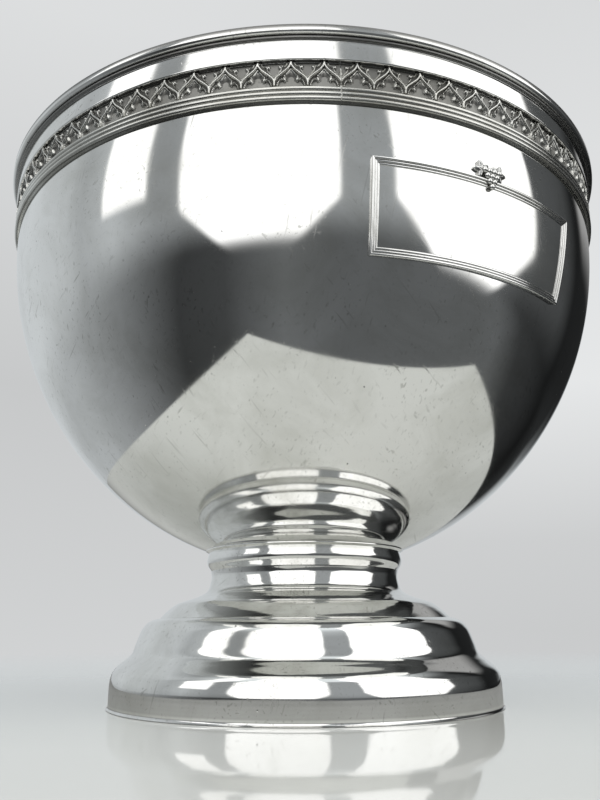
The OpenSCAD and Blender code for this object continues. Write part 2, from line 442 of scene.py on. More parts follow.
def linear(hex_colour: str) -> tuple[float, float, float, float]:
    """Turn an sRGB hex colour to linear: c/12.92 up to 0.04045, else ((c+0.055)/1.055)^2.4.

    Args:
        hex_colour: a colour such as #C9A55C.

    Returns:
        Its linear red, green and blue, and 1.
    """
    c = np.array([int(hex_colour[i:i + 2], 16) for i in (1, 3, 5)]) / 255
    c = np.where(c <= 0.04045, c / 12.92, ((c + 0.055) / 1.055)**2.4)
    return (*c.tolist(), 1.0)


def node(tree: bpy.types.NodeTree, kind: str, inputs: dict | None = None,
         stops: tuple = (), **settings) -> bpy.types.Node:
    """Add a node with its settings and links.

    Args:
        tree: the tree that takes it.
        kind: its type, without the leading ShaderNode.
        inputs: value or output socket for each input, by name or number.
        stops: places and colours of a colour ramp.
        settings: the node's own properties.

    Returns:
        The new node.
    """
    made = tree.nodes.new("ShaderNode" + kind)
    for name, value in settings.items():
        setattr(made, name, value)
    for i, (place, colour) in enumerate(stops):
        ramp = made.color_ramp.elements
        stop = ramp[i] if i < 2 else ramp.new(place)
        stop.position, stop.color = place, colour
    for key, value in (inputs or {}).items():
        if isinstance(value, bpy.types.NodeSocket):
            tree.links.new(value, made.inputs[key])
        else:
            made.inputs[key].default_value = value
    return made


@dataclass(frozen=True)
class Pewter:
    """Pewter, a tin alloy: soft, warm grey and silvery, never as white as silver.

    Polishing leaves a mirror that is a little hazy. Age gives it a thin grey tarnish in
    clouds, hairline scratches, and small dark pits where the cast or rolled metal was
    porous. Sizes are in millimetres.
    """

    name: str
    bright: str = "#EAEAE8"
    tarnish: str = "#D6D6D2"
    dull: str = "#BDBDB9"
    pit: str = "#55534E"
    recess_and_shade: str = "#2B2A27"
    roughness: float = 0.05
    haze: float = 0.04
    wave_mm: float = 60
    wave_depth: float = 0.035
    line_mm: float = 0
    line_depth: float = 0
    grain_mm: float = 1.2
    grain_depth: float = 0.0006
    cloud_mm: float = 45
    scratch_mm: tuple[float, float] = (50, 5 / 3)
    scratch_depth: float = 0.0015
    worn_mm: float = 28
    pits: bool = True
    pit_cell_mm: float = 7
    pit_share: float = 0.2
    pit_edge_mm: float = 0.9
    pit_depth: float = 0.03

    def material(self) -> bpy.types.Material:
        """Build the finish.

        Returns:
            The material. Tarnish, scratches and pits darken the metal and roughen it, and
            hand-made waviness, turning lines and grain tilt its surface.
        """
        material = bpy.data.materials.new(self.name)
        material.use_nodes = True
        tree = material.node_tree
        tree.nodes.clear()
        place = node(tree, "TexCoord").outputs["Object"]
        clouds = node(tree, "TexNoise", {
            "Vector": place, "Scale": 1 / (self.cloud_mm * MM), "Detail": 5.0,
            "Roughness": 0.62, "Distortion": 0.6}).outputs["Fac"]
        cloud = node(tree, "MapRange", {0: clouds, 1: 0.42, 2: 0.68}).outputs[0]
        scratch = self.scratches(tree, place)
        pit = self.pit_mask(tree, place)
        patina_and_shade = node(tree, "Attribute", attribute_name="patina_and_shade").outputs["Fac"]
        colour = node(tree, "Mix", {0: cloud, 6: linear(self.bright), 7: linear(self.tarnish)},
                      data_type="RGBA").outputs[2]
        # The patina value darkens towards the recess colour: patina in the hollows of the cast
        # pieces, painted shade on the rim's fillet and under its roll, a painted dark reflection on
        # the roll's shoulder, and painted shadow along the frieze's top
        marks = [(scratch, self.dull, 0.12), (patina_and_shade, self.recess_and_shade, 0.28)]
        if pit:
            marks.append((pit, self.pit, 0.3))
        for mask, shade, _ in marks:
            colour = node(tree, "Mix", {0: mask, 6: colour, 7: linear(shade)},
                          data_type="RGBA").outputs[2]
        rough = node(tree, "Math", {0: cloud, 1: self.haze, 2: self.roughness},
                     operation="MULTIPLY_ADD").outputs[0]
        for mask, _, amount in marks:
            rough = node(tree, "Math", {0: mask, 1: amount, 2: rough},
                         operation="MULTIPLY_ADD").outputs[0]
        shader = node(tree, "BsdfPrincipled", {
            "Base Color": colour, "Roughness": rough, "Metallic": 1.0,
            "Normal": self.surface(tree, place, scratch, pit)})
        node(tree, "OutputMaterial", {"Surface": shader.outputs[0]})
        return material

    def scratches(self, tree: bpy.types.NodeTree, place: bpy.types.NodeSocket
                  ) -> bpy.types.NodeSocket:
        """Hairline scratches: noise drawn out along four directions, kept where it peaks.
        They crowd in worn patches.

        The real ones are 0.05 mm wide, too fine to show, so these are drawn 0.3 mm wide.

        Args:
            tree: the material's tree.
            place: the object coordinates.

        Returns:
            A mask from 0 to 1.
        """
        total = None
        length, width = (size * MM for size in self.scratch_mm)
        turns = ((0.3, 0.1, 0.9), (1.2, 0.7, 0.2), (0.5, 1.3, 2.1), (2.2, 0.4, 1.6))
        for turn in turns:
            drawn = node(tree, "Mapping", {
                "Vector": place, "Rotation": turn,
                "Scale": (length, width, width)}, vector_type="TEXTURE").outputs[0]
            noise = node(tree, "TexNoise", {"Vector": drawn, "Scale": 1.0, "Detail": 1.0,
                                            "Roughness": 0.4}).outputs["Fac"]
            line = node(tree, "MapRange", {0: noise, 1: 0.68, 2: 0.78, 3: 0.0, 4: 0.8}).outputs[0]
            total = line if total is None else node(
                tree, "Math", {0: total, 1: line}, operation="MAXIMUM").outputs[0]
        patches = node(tree, "TexNoise", {"Vector": place, "Scale": 1 / (self.worn_mm * MM),
                                          "Detail": 2.0}).outputs["Fac"]
        worn = node(tree, "MapRange", {0: patches, 1: 0.42, 2: 0.58, 3: 0.3}).outputs[0]
        return node(tree, "Math", {0: total, 1: worn}, operation="MULTIPLY").outputs[0]

    def pit_mask(self, tree: bpy.types.NodeTree, place: bpy.types.NodeSocket
                 ) -> bpy.types.NodeSocket | None:
        """Small dark pits: a share of the cells keeps a ragged dot, about 0.8 mm across.

        Args:
            tree: the material's tree.
            place: the object coordinates.

        Returns:
            A mask from 0 to 1, or nothing for a finish without pits.
        """
        if not self.pits:
            return None
        ragged = node(tree, "TexNoise", {"Vector": place, "Scale": 1 / (self.pit_edge_mm * MM)}
                      ).outputs["Color"]
        moved = node(tree, "VectorMath", {0: ragged, 1: (MM, MM, MM), 2: place},
                     operation="MULTIPLY_ADD").outputs[0]
        cells = node(tree, "TexVoronoi", {"Vector": moved, "Scale": 1 / (self.pit_cell_mm * MM),
                                          "Randomness": 1.0})
        dot = node(tree, "MapRange", {0: cells.outputs["Distance"], 1: 0.03, 2: 0.085,
                                      3: 0.85, 4: 0.0}).outputs[0]
        chosen = node(tree, "SeparateColor", {0: cells.outputs["Color"]}).outputs[0]
        some = node(tree, "Math", {0: chosen, 1: self.pit_share}, operation="LESS_THAN").outputs[0]
        return node(tree, "Math", {0: dot, 1: some}, operation="MULTIPLY").outputs[0]

    def surface(self, tree: bpy.types.NodeTree, place: bpy.types.NodeSocket,
                scratch: bpy.types.NodeSocket, pit: bpy.types.NodeSocket | None
                ) -> bpy.types.NodeSocket:
        """Add up the surface's height in millimetres and tilt the shading with it.

        Args:
            tree: the material's tree.
            place: the object coordinates.
            scratch: the scratches' mask.
            pit: the pits' mask, if the finish has pits.

        Returns:
            The tilted normal.
        """
        wave = node(tree, "TexNoise", {"Vector": place, "Scale": 1 / (self.wave_mm * MM),
                                       "Detail": 1.0, "Roughness": 0.35}).outputs["Fac"]
        grain = node(tree, "TexNoise", {"Vector": place, "Scale": 1 / (self.grain_mm * MM),
                                        "Detail": 2.0, "Roughness": 0.5}).outputs["Fac"]
        parts = [(wave, self.wave_depth), (grain, self.grain_depth),
                 (scratch, -self.scratch_depth)]
        if pit:
            parts.append((pit, -self.pit_depth))
        if self.line_mm:
            # A band of the wave texture repeats every pi / 10 of its scaled length
            lines = node(tree, "TexWave", {"Vector": place, "Scale": 0.3142 / (self.line_mm * MM),
                                           "Distortion": 0.6, "Detail": 1.0},
                         bands_direction="Z").outputs["Fac"]
            parts.append((lines, self.line_depth))
        height = None
        for mask, depth in parts:
            height = node(tree, "Math", {0: mask, 1: depth, 2: 0.0 if height is None else height},
                          operation="MULTIPLY_ADD").outputs[0]
        return node(tree, "Bump", {"Height": height, "Distance": MM, "Strength": 1.0}
                    ).outputs["Normal"]


@dataclass(frozen=True)
class PlainMetal:
    """A workshop metal on the hidden fixings: mottled colour, dull, with fine tool marks."""

    name: str
    light: str
    dark: str
    roughness: float
    mottle_mm: float
    mark_mm: float = 0.6
    mark_depth: float = 0.004

    def material(self) -> bpy.types.Material:
        """Build the finish from a mottle for colour and roughness, and marks for bump.

        Returns:
            The material.
        """
        material = bpy.data.materials.new(self.name)
        material.use_nodes = True
        tree = material.node_tree
        tree.nodes.clear()
        place = node(tree, "TexCoord").outputs["Object"]
        mottle = node(tree, "TexNoise", {"Vector": place, "Scale": 1 / (self.mottle_mm * MM),
                                         "Detail": 4.0, "Roughness": 0.6}).outputs["Fac"]
        share = node(tree, "MapRange", {0: mottle, 1: 0.35, 2: 0.65}).outputs[0]
        colour = node(tree, "Mix", {0: share, 6: linear(self.light), 7: linear(self.dark)},
                      data_type="RGBA").outputs[2]
        rough = node(tree, "Math", {0: share, 1: 0.15, 2: self.roughness},
                     operation="MULTIPLY_ADD").outputs[0]
        marks = node(tree, "TexNoise", {"Vector": place, "Scale": 1 / (self.mark_mm * MM),
                                        "Detail": 3.0}).outputs["Fac"]
        depth = node(tree, "Math", {0: marks, 1: self.mark_depth}, operation="MULTIPLY").outputs[0]
        bump = node(tree, "Bump", {"Height": depth, "Distance": MM, "Strength": 1.0})
        shader = node(tree, "BsdfPrincipled", {"Base Color": colour, "Roughness": rough,
                                               "Metallic": 1.0, "Normal": bump.outputs["Normal"]})
        node(tree, "OutputMaterial", {"Surface": shader.outputs[0]})
        return material


# Spun and polished pewter: long soft waves from the chuck, a hazy mirror
BOWL_PEWTER = Pewter("polished_spun_pewter")
# The rim's strip is rolled and burnished: straighter, with faint lines along it
RIM_PEWTER = Pewter("burnished_rim_pewter", wave_mm=30, wave_depth=0.01, roughness=0.07,
                    line_mm=1.4, line_depth=0.0008)
# Cast pewter, brushed bright on top: duller, grainy, black in its recesses
FRIEZE_PEWTER = Pewter("cast_frieze_pewter", bright="#D6D6D1", tarnish="#B9B8B1", roughness=0.17,
                       haze=0.1, wave_mm=6, wave_depth=0.012, grain_mm=0.5, grain_depth=0.006,
                       pits=False)
# Cast plaque: its field is polished like the bowl, its steps are satin
PLAQUE_PEWTER = Pewter("polished_plaque_pewter", wave_mm=35, wave_depth=0.015, roughness=0.07,
                       pits=False)
# Spun foot and stem: tighter curves, faint turning lines
FOOT_PEWTER = Pewter("polished_foot_pewter", wave_mm=32, wave_depth=0.012, line_mm=1.8,
                     line_depth=0.0008)
SOLDER = PlainMetal("tin_solder", "#CDCDC8", "#8E8D87", 0.28, 1.5, 0.8, 0.06)
BRASS = PlainMetal("turned_brass", "#C9A55C", "#8E6F38", 0.3, 12)
ZINC_STEEL = PlainMetal("zinc_plated_steel", "#C3C7CB", "#8B9196", 0.34, 8)


# ---------------------------------------------------------------- sub-assemblies


@dataclass(frozen=True)
class Bowl:
    """The deep spun bowl: a half ellipse under an upright wall."""

    turns: int = 384
    rows: int = 90
    wall_rows: int = 12

    def build(self) -> None:
        """Turn the bowl's outline: up its outer face, over its edge, down its inner face."""
        outer = LEVELS.bowl_line(0, self.rows)
        inner = LEVELS.bowl_line(-LEVELS.bowl_wall, self.rows)
        top = LEVELS.band_top
        inner_r = LEVELS.bowl_r - LEVELS.bowl_wall
        wall = np.linspace(LEVELS.bowl_mid, top, self.wall_rows)[1:]
        outer_wall = np.stack([np.full(len(wall), LEVELS.bowl_r), wall], 1)
        inner_wall = np.stack([np.full(len(wall), inner_r), wall], 1)
        outline = np.vstack([outer, outer_wall, inner_wall[::-1], inner[::-1]])
        outline[[0, -1], 0] = 0
        make_piece("bowl_shell", turned_shape(outline, self.turns), BOWL_PEWTER.material(),
                   ("bowl",))


@dataclass(frozen=True)
class Rim:
    """The plain band round the mouth and the rolled rim on top of it."""

    turns: int = 384
    band_t: float = 3
    fillet_h: float = 1.4
    fillet_out: float = 1.5
    roll_out: float = 6.5
    roll_in: float = 0.5
    cove: float = 0.5
    cove_out: float = 0.4
    band_round: float = 0.8
    crown: float = 3.4
    # How dark the painted shade is on the band's fillet under the roll and on the roll's underside,
    # and how dark the painted reflection is on the roll's outer shoulder
    stain_and_shade: float = 0.75
    shoulder_shade: float = 0.8
    # Where the painted shade starts and where it is full: below the fillet, above the band's
    # top, below the roll's peak and in from its outer edge
    fillet_shaded: tuple[float, float] = (0.9, 0.3)
    under_shaded: tuple[float, float] = (0.45, 0.1)
    shoulder_shaded: tuple[float, float] = (3.1, 2.3)
    edge_shaded: tuple[float, float] = (1.8, 0.6)

    def build(self) -> None:
        """Turn the band's section and the roll's section."""
        finish = RIM_PEWTER.material()
        band, roll = self.band_outline(), self.roll_outline()
        top = LEVELS.band_top
        # Painted shade on the band's top and its fillet, where the roll overhangs them
        shaded = rise(band[:, 1], *(top - self.fillet_h - down for down in self.fillet_shaded))
        make_piece("plain_band", turned_shape(band, self.turns, self.stain_and_shade * shaded), finish,
                   ("lip_band",))
        peak = top + LEVELS.rim_h
        outer = LEVELS.bowl_r + self.roll_out
        # Painted dark reflection on the roll's outer shoulder, and painted shade on its underside
        # where it sits on the band
        shoulder = rise(roll[:, 1], *(peak - down for down in self.shoulder_shaded))
        shoulder = shoulder * rise(roll[:, 0], *(outer - inwards for inwards in self.edge_shaded))
        under = rise(roll[:, 1], *(top + up for up in self.under_shaded))
        shaded = np.maximum(self.stain_and_shade * under, self.shoulder_shade * shoulder)
        make_piece("rolled_rim", turned_shape(roll, self.turns, shaded), finish,
                   ("rim_roll",))

    def band_outline(self) -> Array:
        """The band's section: a flat with a soft lower edge and a fillet at its top.

        Returns:
            Radius and height of each point, closed on itself.
        """
        r0, z0, z1 = LEVELS.bowl_r, LEVELS.band_low, LEVELS.band_top
        r1 = r0 + self.band_t
        r2, z2 = r1 + self.fillet_out, z1 - self.fillet_h
        return softened(np.array([[r0, z0], [r1, z0], [r1, z2 - self.cove],
                                  [r1 + self.cove_out, z2], [r2, z2], [r2, z1], [r0, z1]]),
                        self.band_round)

    def roll_outline(self) -> Array:
        """The roll's section: the closed curve |x/a|^n + |y/b|^n = 1 with n the crown.

        Returns:
            Radius and height of each point, closed on itself.
        """
        low, high = LEVELS.bowl_r - LEVELS.bowl_wall - self.roll_in, LEVELS.bowl_r + self.roll_out
        t = full_turn(64)
        x, y = np.cos(t), np.sin(t)
        x, y = (np.sign(v) * np.abs(v)**(2 / self.crown) for v in (x, y))
        return np.stack([(low + high) / 2 + (high - low) / 2 * x,
                         LEVELS.band_top + LEVELS.rim_h / 2 * (1 + y)], 1)


@dataclass(frozen=True)
class Frieze:
    """Four cast strips of ogee arches over three reeds, soldered end to end.

    A strip is base_t thick where it is deepest and bed_t beside the ribs. Half widths are
    those of the ribs, of the trefoil's line and of the spandrel's line.
    """

    strips: int = 4
    arches: int = 19
    seam_deg: float = -23.5
    seam_gap: float = 0.5
    base_t: float = 0.5
    bed_t: float = 1.05
    relief: float = 2.5
    rib_half: tuple[float, float] = (0.30, 0.62)
    foil_half: float = 0.34
    foil_h: float = 0.95
    vee_half: float = 0.3
    vee_h: float = 0.75
    hollow_t: float = 1.45
    spandrel_t: float = 0.75
    cusp_h: float = 1.25
    knob_h: float = 1.3
    reed_r: float = 1.22
    reed_t: float = 1.15
    reed_n: int = 3
    back_t: float = 0.01
    bead_h: float = 2.05
    bead_half: float = 0.85
    bead_lump: float = 0.3
    bead_top: float = 0.75
    bead_rows: int = 60
    bead_ring: int = 14
    cell_columns: int = 52
    arcade_rows: int = 66
    reed_rows: int = 9

    # The arch's lines from its middle outwards, as shares of its width and height
    rib_line = np.array([
        [0, 1.0], [0.008, 0.9], [0.05, 0.78], [0.131, 0.654], [0.219, 0.56], [0.307, 0.467],
        [0.394, 0.374], [0.453, 0.3], [0.489, 0.215], [0.499, 0.12], [0.5, 0]])
    foil_line = np.array([
        [0, 0.7], [0.073, 0.589], [0.146, 0.477], [0.197, 0.42], [0.21, 0.365], [0.226, 0.3],
        [0.307, 0.275], [0.365, 0.2], [0.4, 0.1], [0.42, 0]])
    vee_line = np.array([
        [0.1, 1.0], [0.12, 0.92], [0.16, 0.855], [0.22, 0.815], [0.28, 0.8], [0.29, 0.72],
        [0.31, 0.65], [0.4, 0.5], [0.5, 0.37]])

    # The cusp's and the knob's place and half sizes, as the same shares
    cusp: tuple[float, float, float, float] = (0.19, 0.29, 0.050, 0.10)
    knob: tuple[float, float, float, float] = (0.335, 0.80, 0.046, 0.078)
    # Patina on the bed, in the spandrel, in the hollow and in the opening, and painted shadow along
    # the top, where the band above overhangs
    bed_dark: float = 0.9
    spandrel_dark: float = 0.74
    hollow_dark: float = 0.8
    opening_dark: float = 0.64
    band_shadow: float = 0.95

    @property
    def cell_w(self) -> float:
        """Width of one arch along the bowl's wall."""
        return 2 * np.pi * LEVELS.bowl_r / self.strips / self.arches

    def build(self) -> None:
        """Lay the arcade and the reeds round each quarter, and fill the seams."""
        finish = FRIEZE_PEWTER.material()
        for i in range(self.strips):
            make_piece(f"arcade_strip_{i + 1}", self.strip_shape(i), finish,
                       (f"frieze_strip_{i + 1}",), 60)
        seams = Shape.join(*(self.solder_shape(i) for i in range(self.strips)))
        make_piece("seam_beads", seams, SOLDER.material(), ("seam_solder",), 60)

    def arch_relief(self, x: Array, v: Array) -> tuple[Array, Array]:
        """Height of the arcade above the bowl's wall, and how dark its patina and its painted
        shadow are.

        The rib, the trefoil's line and the spandrel's line are smooth lines through the
        points below, given as shares of the arch's width and height for its right half.
        Inside the trefoil a hollow falls from its line to an opening with a round head,
        in the proportion of the distances to the two. A blunt cusp stands at each waist of
        the trefoil and of the spandrel.

        Args:
            x: distance from the arch's middle.
            v: height above the reeds.

        Returns:
            The height, and the patina with the painted shadow under the band, at each place.
        """
        size = np.array([self.cell_w, LEVELS.arcade_h])
        side = np.abs(x)
        place = np.stack([side, v], -1)

        def off(line: Array) -> tuple[Array, Array]:
            """Distance to a line, and whether the place is above it.

            Args:
                line: its points as shares of the arch's width and height.

            Returns:
                The distance at each place, and true where the place lies above the line.
            """
            points = smooth_line(line, 6) * size
            a, way = points[:-1], np.diff(points, axis=0)
            gap = place[..., None, :] - a
            share = np.clip((gap * way).sum(-1) / (way**2).sum(-1), 0, 1)
            near = np.linalg.norm(gap - share[..., None] * way, axis=-1).min(-1)
            x_up = np.maximum.accumulate(points[:, 0]) + np.arange(len(points)) * 1e-7
            return near, v > np.interp(side, x_up, points[:, 1])

        rib, above = off(self.rib_line)
        foil, out_of_foil = off(self.foil_line)
        vee, in_vee = off(self.vee_line)

        w, h = size
        head = np.hypot(side, np.clip(v - 0.33 * h, 0, None)) - 0.092 * w
        lobe = np.maximum(0.55 - foil, v - 0.24 * h)
        opening = np.minimum(head, lobe)
        hollow = foil / (foil + np.clip(opening, 0, None) + 1e-6)
        open_mask = rise(-opening, -0.1, 0.15)
        low, bed = self.base_t, self.bed_t
        rib_top, rib_foot = self.rib_half
        inside = (low + (self.hollow_t - low) * (1 - hollow)) * (1 - open_mask) + low * open_mask
        cusp, knob = (self.bump(side - x0 * w, v - z0 * h, half_w * w, half_h * h)
                      for x0, z0, half_w, half_h in (self.cusp, self.knob))
        inside = np.maximum(inside, low + self.cusp_h * cusp)
        spandrel = np.maximum(self.spandrel_t - 0.1 * rise(vee, 0, 1), low + self.knob_h * knob)
        level = np.where(above, np.where(in_vee, spandrel, bed), np.where(out_of_foil, bed, inside))
        foil_ridge = bed + self.foil_h * ridge(foil, self.foil_half)
        vee_ridge = bed + self.vee_h * ridge(vee, self.vee_half)
        level = np.maximum(level, np.where(foil < self.foil_half, foil_ridge, 0))
        level = np.maximum(level, np.where(above & (vee < self.vee_half), vee_ridge, 0))
        crest = bed + (self.relief - bed) * (1 - rise(rib, rib_top, rib_foot))
        level = np.where(rib < rib_foot, np.maximum(level, crest), level)

        groove = np.where(above, ~in_vee, out_of_foil) * self.bed_dark
        dark = np.where(above, np.where(in_vee, self.spandrel_dark * (1 - knob), groove), groove)
        wall = (self.hollow_dark * (1 - open_mask) * rise(hollow, 0.05, 0.4)
                + self.opening_dark * open_mask)
        dark = np.where(~above & ~out_of_foil, np.where(cusp > 0.3, 0, wall), dark)
        polish = 0.04
        bright = np.maximum(ridge(foil, self.foil_half + polish),
                            ridge(vee, self.vee_half + polish) * above)
        bright = np.maximum(bright, 1 - rise(rib, rib_top + 3 * polish, rib_foot))
        # Painted shadow of the band along the arcade's top, left off the ribs' tips
        shade = self.band_shadow * rise(v, 0.9 * h, 0.97 * h) * (rib > 0.5)
        return level, np.clip(np.maximum(dark * (1 - bright), shade), 0, 1)

    @staticmethod
    def bump(x: Array, z: Array, half_w: float, half_h: float) -> Array:
        """A round boss: sqrt(1 - (x / half width)^2 - (z / half height)^2)."""
        return np.sqrt(np.clip(1 - (x / half_w)**2 - (z / half_h)**2, 0, None))

    def strip_shape(self, i: int) -> Shape:
        """One cast strip as rings of front and back points, carried along the wall.

        Args:
            i: number of the strip.

        Returns:
            The closed strip, with dark patina where the relief is deep and painted shadow along its
            top.
        """
        w, half = self.cell_w, self.seam_gap / 2
        columns = self.cell_columns * self.arches + 1
        along = np.linspace(half, w * self.arches - half, columns)
        x = np.mod(along, w) - w / 2
        v = np.linspace(0, LEVELS.arcade_h, self.arcade_rows)
        cell, stain_and_shade = self.arch_relief(*np.meshgrid(x, v, indexing="ij"))
        edge = rise(v, LEVELS.arcade_h + 0.01, LEVELS.arcade_h - 0.5)
        cell = self.base_t + (cell - self.base_t) * edge
        turn = np.linspace(-np.pi / 2, np.pi / 2, self.reed_rows)
        centre = np.arange(self.reed_n)[:, None]
        reed_z = (LEVELS.strip_low + (2 * centre + 1 + np.sin(turn)) * self.reed_r).ravel()
        reed_h = np.tile(self.reed_t + self.reed_r * np.cos(turn), self.reed_n)
        z = np.concatenate([reed_z, LEVELS.arcade_low + v[1:]])
        height = np.concatenate([np.tile(reed_h, (columns, 1)), cell[:, 1:]], 1)
        z = np.tile(np.concatenate([z, [z[-1], z[0]]]), (columns, 1))
        height = np.concatenate([height, np.full((columns, 2), self.back_t)], 1)
        angle = math.radians(self.seam_deg + i * 360 / self.strips) + along / LEVELS.bowl_r
        points = around(LEVELS.bowl_r + height, z, angle[:, None])
        groove = np.tile(0.8 * (1 - np.cos(turn)**0.35), self.reed_n)
        patina_and_shade = np.concatenate([np.tile(groove, (columns, 1)), stain_and_shade[:, 1:],
                                 np.zeros((columns, 2))], 1)
        return tube_shape(points, patina_and_shade)

    def solder_shape(self, i: int) -> Shape:
        """The lumpy bead of solder in one seam.

        Its height is bead_h and its half width bead_half, and both swell with the same
        lumps, a sum of three sines of different wavelengths.

        Args:
            i: number of the seam.

        Returns:
            The closed bead.
        """
        top = LEVELS.arcade_low + self.bead_top * LEVELS.arcade_h
        z = np.linspace(LEVELS.strip_low, top, self.bead_rows)
        t = z + 7 * i
        lump = (np.sin(1.7 * t) + 0.7 * np.sin(2.9 * t + 1) + 0.5 * np.sin(0.8 * t + 2)) / 2.2
        half = self.bead_half + self.bead_lump * lump
        half = half * np.sqrt(np.clip(1 - np.linspace(-1, 1, self.bead_rows)**8, 0.05, 1))
        turn = np.linspace(0, np.pi, self.bead_ring)
        rise_mm = self.bead_h + self.bead_lump * lump
        along = half[:, None] * np.cos(turn)
        height = rise_mm[:, None] * np.sin(turn)**0.7 + self.back_t
        angle = math.radians(self.seam_deg + i * 360 / self.strips) + along / LEVELS.bowl_r
        points = around(LEVELS.bowl_r + height, np.repeat(z[:, None], self.bead_ring, 1), angle)
        return tube_shape(points)


@dataclass(frozen=True)
class Plaque:
    """The bare plaque on the front, in a frame of three round steps."""

    width: float = 120
    height: float = 42.3
    drop: float = 25.8
    field_t: float = 1.1
    step_w: float = 1.2
    step_h: float = 0.45
    steps: int = 3
    sunk: float = 0.2
    stain_and_shade: float = 0.55
    edge_columns: int = 44
    field_columns: int = 60
    field_rows: int = 24

    @property
    def top(self) -> float:
        """Level of the plaque's top edge."""
        return LEVELS.strip_low - self.drop

    def spread(self, length: float, middle: int) -> Array:
        """Places across the plaque: close in the frame at both ends, wide in the field.

        Args:
            length: the plaque's size in this direction.
            middle: number of places in the field.

        Returns:
            The places, from 0 to the length.
        """
        past_frame = 0.8
        frame_w = self.steps * self.step_w + past_frame
        edge = np.linspace(0, frame_w, self.edge_columns)
        field = np.linspace(frame_w, length - frame_w, middle + 2)[1:-1]
        return np.concatenate([edge, field, length - edge[::-1]])

    def relief(self, inset: Array) -> Array:
        """Height over the bowl at a distance in from the plaque's nearest edge.

        Each step k from the outside in is a round ridge of the step's width, and its foot
        lies a step's height below the one before.

        Args:
            inset: distance in from the nearest edge.

        Returns:
            The height at each place.
        """
        k = np.floor(inset / self.step_w)
        across = inset / self.step_w - k - 0.5
        foot = self.field_t + self.step_h * (self.steps - 1 - k)
        step = foot + self.step_h * (1.1 * ridge(across, 0.52) - 0.1)
        inner = self.steps * self.step_w
        return np.where(inset < inner, step, self.field_t)

    def build(self) -> None:
        """Lay the relief on the bowl and close it with a back."""
        s = self.spread(self.width, self.field_columns)
        v = self.spread(self.height, self.field_rows)
        from_side = np.minimum(s, self.width - s)[:, None]
        from_end = np.minimum(v, self.height - v)[None]
        inset = np.minimum(from_side, from_end)
        height = self.relief(inset + 1e-6)
        z = np.tile(self.top - self.height + v, (len(s), 1))
        z = np.concatenate([z, z[:, [-1, 0]]], 1)
        height = np.concatenate([height, np.full((len(s), 2), -self.sunk)], 1)
        along = np.repeat((s - self.width / 2)[:, None], z.shape[1], 1)
        across = np.abs(np.mod(inset / self.step_w, 1) - 0.5) * 2
        groove = rise(across, 0.62, 1.0) * (inset < self.steps * self.step_w + 0.1)
        patina_and_shade = np.concatenate([self.stain_and_shade * groove, np.zeros((len(s), 2))], 1)
        make_piece("framed_plaque", tube_shape(LEVELS.on_bowl(along, z, height), patina_and_shade),
                   PLAQUE_PEWTER.material(), ("plaque",), 50)


@dataclass(frozen=True)
class Ornament:
    """A bunch of berries between two leaves, over the middle of the plaque's top edge."""

    rise_mm: float = 1.5
    berry_r: float = 1.5
    berry_h: float = 2.2
    berry_rows: int = 4
    leaf_r: float = 4.6
    leaf_out: float = 4.9
    leaf_up: float = 3
    leaf_t: float = 1.9
    vein_h: float = 0.35
    droop: float = 0.8

    def build(self, plaque_top: float) -> None:
        """Make the leaves and the berries and set them on the bowl.

        Args:
            plaque_top: level of the plaque's top edge.
        """
        level = plaque_top + self.rise_mm
        shapes = [self.leaf(side, level) for side in (-1, 1)]
        pitch = 1.85 * self.berry_r
        for row in range(self.berry_rows):
            z = level + (row - self.berry_rows / 2) * pitch * 0.87
            for k in range(row + 1):
                shapes.append(self.berry((k - row / 2) * pitch, z))
        make_piece("berry_ornament", Shape.join(*shapes), PLAQUE_PEWTER.material(),
                   ("plaque_ornament",), 60)

    def berry(self, x: float, z: float) -> Shape:
        """A round berry: a sphere of parallels and meridians, half sunk in the others.

        Args:
            x: distance to the right of the ornament's middle.
            z: level of its middle.

        Returns:
            The closed sphere, darker on its sides and back than on its front.
        """
        cap, parallels = 0.12, 12
        polar = np.linspace(cap, np.pi - cap, parallels)[:, None]
        turn = full_turn(18)
        r = self.berry_r
        centre = LEVELS.on_bowl(np.array(x), np.array(z), np.array(self.berry_h))
        points = np.stack([r * np.sin(polar) * np.cos(turn), r * np.sin(polar) * np.sin(turn),
                           r * np.cos(polar) * np.ones_like(turn)], -1)
        facing = -points[..., 1] / r
        return tube_shape(points + centre, rise(facing, 0.55, -0.1) * 0.6)

    def leaf(self, side: int, level: float) -> Shape:
        """A five-lobed leaf as rings round its middle.

        In direction t its edge lies at leaf_r (0.78 + 0.22 cos 5t). At share s of the way
        out its height is leaf_t - droop s^3, plus vein_h (1 - s) along each lobe's middle.

        Args:
            side: -1 for the left leaf and 1 for the right one.
            level: level of the ornament's middle.

        Returns:
            The closed leaf.
        """
        turn = full_turn(80)
        share = np.concatenate([[0.02], np.linspace(0.12, 1, 12), [1.0]])[:, None]
        edge = self.leaf_r * (0.78 + 0.22 * np.cos(5 * turn))
        x = side * (self.leaf_out + share * edge * np.cos(turn))
        z = level + self.leaf_up + share * edge * np.sin(turn)
        vein = np.clip(np.cos(5 * turn), 0, 1)**6
        height = self.leaf_t + self.vein_h * vein * (1 - share) - self.droop * share**3
        height[-1] = 0.01
        patina_and_shade = 0.4 * (1 - vein) * rise(share, 0.1, 0.5) * np.ones_like(height)
        return tube_shape(LEVELS.on_bowl(x, z * np.ones_like(x), height), patina_and_shade)


